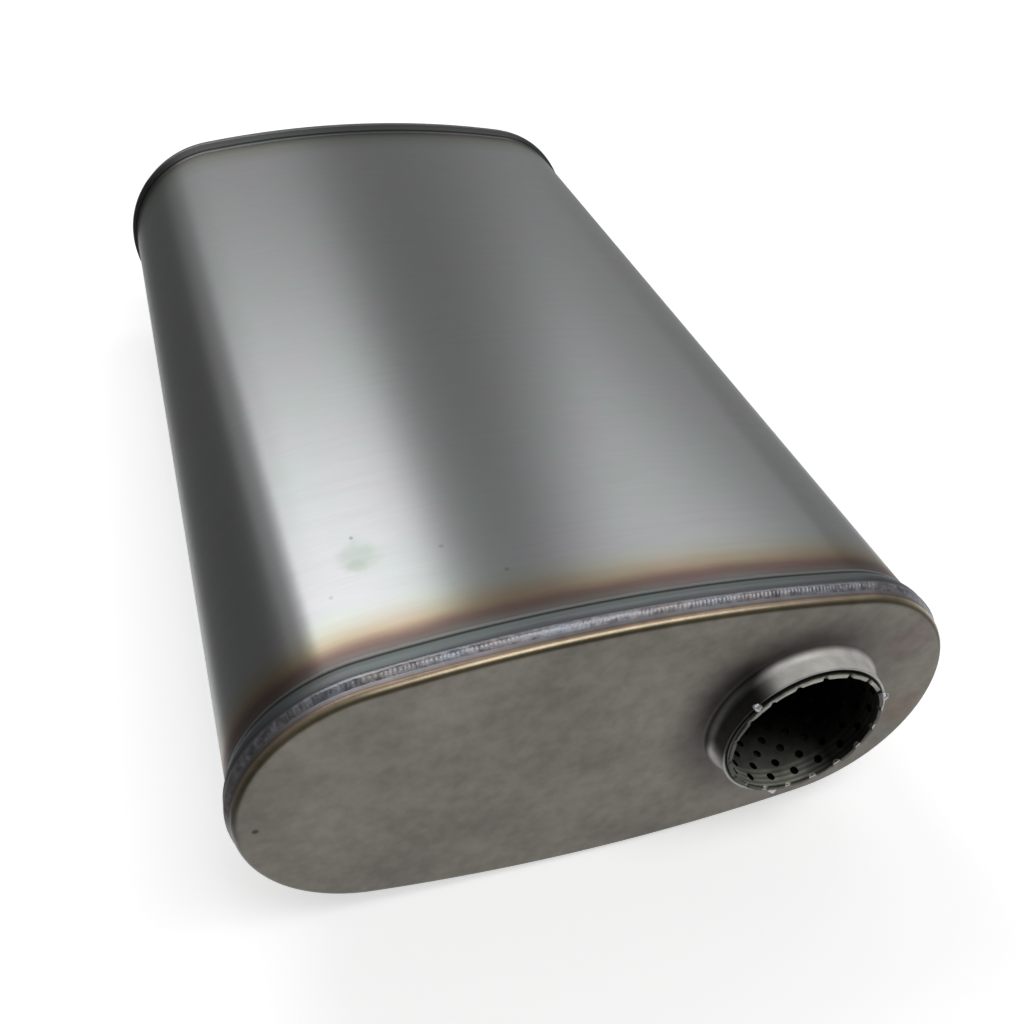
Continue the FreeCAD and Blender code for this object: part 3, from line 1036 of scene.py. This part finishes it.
for end in (-1, 1):
    bmesh.ops.bisect_plane(
        core_mesh, geom=core_mesh.verts[:] + core_mesh.edges[:] + core_mesh.faces[:],
        plane_co=(0, end * core_end, 0), plane_no=(0, end, 0), clear_outer=True,
    )
bmesh.ops.recalc_face_normals(core_mesh, faces=core_mesh.faces)
bmesh.ops.solidify(core_mesh, geom=core_mesh.faces[:], thickness=core_wall)
noise.seed_set(burr_seed)
for vertex in core_mesh.verts:
    if abs(vertex.co.y) > core_end - edge_burr:
        roughly = noise.noise_vector(vertex.co * burr_scale)
        vertex.co.y -= math.copysign(abs(roughly.y) * edge_dip, vertex.co.y)
        from_hub = Vector((vertex.co.x - core_offset, 0, vertex.co.z - axis_height))
        vertex.co -= from_hub.normalized() * abs(roughly.x) * edge_burr
core = piece_from(core_mesh, "perforated_tube", core_metal)
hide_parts("perforated_core", "core_seam_weld")
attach(core, "root")


# Core tacks
# Three weld nuggets at each end hold the core in the mouth of its collar. Each froze as a lump in
# the corner between them.
tack_radius = 0.0014
tack_angles = (140.0, 260.0, 20.0)
tack_reach = 1.5
tack_out = 0.0006
tack_height = 0.00145
tack_lumps = 0.22
tack_lump_scale = 900
tack_difference = 7.3
tack_colour = (0.50, 0.50, 0.51, 1)

tack_metal = weld_metal.copy()
tack_metal.name = "tack_metal"
tack_metal.node_tree.nodes[blued.name].inputs["Colour"].default_value = tack_colour


def tacks(name, node, side):
    """The three nuggets of the front end (side -1) or the rear (side 1)."""
    mesh = bmesh.new()
    for number, angle in enumerate(tack_angles):
        turn = math.radians(angle)
        outward = Vector((math.cos(turn), 0, math.sin(turn)))
        mouth = Vector((core_offset, side * (half_length + collar_height), axis_height))
        ball = bmesh.ops.create_icosphere(mesh, subdivisions=4, radius=tack_radius)
        for vertex in ball["verts"]:
            lump_place = vertex.co * tack_lump_scale + Vector((number * tack_difference, side, 0))
            swell = 1 + tack_lumps * noise.noise(lump_place)
            along = outward * vertex.co.dot(outward) * (tack_reach - 1)
            place = mouth + outward * (core_outer_radius + tack_out) + (vertex.co + along) * swell
            from_axis = Vector((place.x - core_offset, 0, place.z - axis_height))
            if from_axis.length < core_outer_radius:
                from_axis = from_axis.normalized() * core_outer_radius
            beyond = min(max(side * (place.y - mouth.y), 0), tack_height)
            vertex.co = (core_offset + from_axis.x, mouth.y + side * beyond, axis_height + from_axis.z)
    nuggets = piece_from(mesh, name, tack_metal)
    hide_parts(node)
    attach(nuggets, "root")


tacks("front_tack_nuggets", "front_core_tacks", -1)
tacks("rear_tack_nuggets", "rear_core_tacks", 1)


# Partitions
# Plain pressed sheet, out of sight inside the shell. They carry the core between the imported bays.
partition_metal, shader = new_material("pressed_partition")
tree = partition_metal.node_tree
cloudy = place_group(
    tree, clouding, Colour=(0.42, 0.42, 0.41, 1), Scale=40.0,
    First_Tint=(0.85, 0.85, 0.85, 1), Second_Tint=(1.05, 1.05, 1.05, 1),
)
rolled = place_group(tree, brushing, Scale=(160, 160, 900), Coarse_Share=0.5).outputs["Height"]
feed(tree, shader, {
    "Base Color": cloudy.outputs["Colour"],
    "Metallic": 1.0,
    "Roughness": between(tree, cloudy.outputs["Patch"], 0.0, 1.0, low=0.35, high=0.5),
    "Normal": relief(tree, rolled, strength=0.3, distance=0.00008),
})
for name in ("front_partition", "rear_partition"):
    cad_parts[name].data.materials.clear()
    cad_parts[name].data.materials.append(partition_metal)


# Packing
# Steel wool wound on the core shows as a dark tangle through the holes. Mineral fibre blankets and
# batts fill the rest of the three bays.
strands_lie = ((0.12, 1, 1), (1, 0.12, 1))


def fibre_material(name, colour, dark, thickness, metallic):
    """Tangled fibres: long thin noise in two directions, with deep gaps between them darkened as painted
    shade.
    """
    made, shader = new_material(name)
    tree = made.node_tree
    crossed = []
    for way in strands_lie:
        stretched = vector_maths(tree, "MULTIPLY", on_muffler(tree), [share / thickness for share in way])
        crossed.append(mottle(tree, stretched, scale=1.0, detail=4.0, roughness=0.7, distortion=1.5))
    tangle = maths(tree, "MAXIMUM", *crossed)
    feed(tree, shader, {
        "Base Color": ramp(tree, tangle, [(0.42, *dark), (0.68, *colour)]),
        "Metallic": metallic,
        "Roughness": between(tree, tangle, 0.0, 1.0, low=0.6, high=0.9),
        "Normal": relief(tree, tangle, strength=1.0, distance=thickness),
    })
    return made


wool_steel = fibre_material("steel_wool_tangle", (0.16, 0.155, 0.15), (0.01, 0.01, 0.01), 0.0006, 1.0)
mineral_fibre = fibre_material("mineral_fibre", (0.74, 0.71, 0.60), (0.40, 0.37, 0.30), 0.0012, 0.0)
fillings = {"steel_wool": wool_steel, "blanket": mineral_fibre, "side_batt": mineral_fibre}
for bay in ("front", "middle", "rear"):
    for filling, fibre in fillings.items():
        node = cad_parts[bay + "_" + filling]
        node.data.materials.clear()
        node.data.materials.append(fibre)
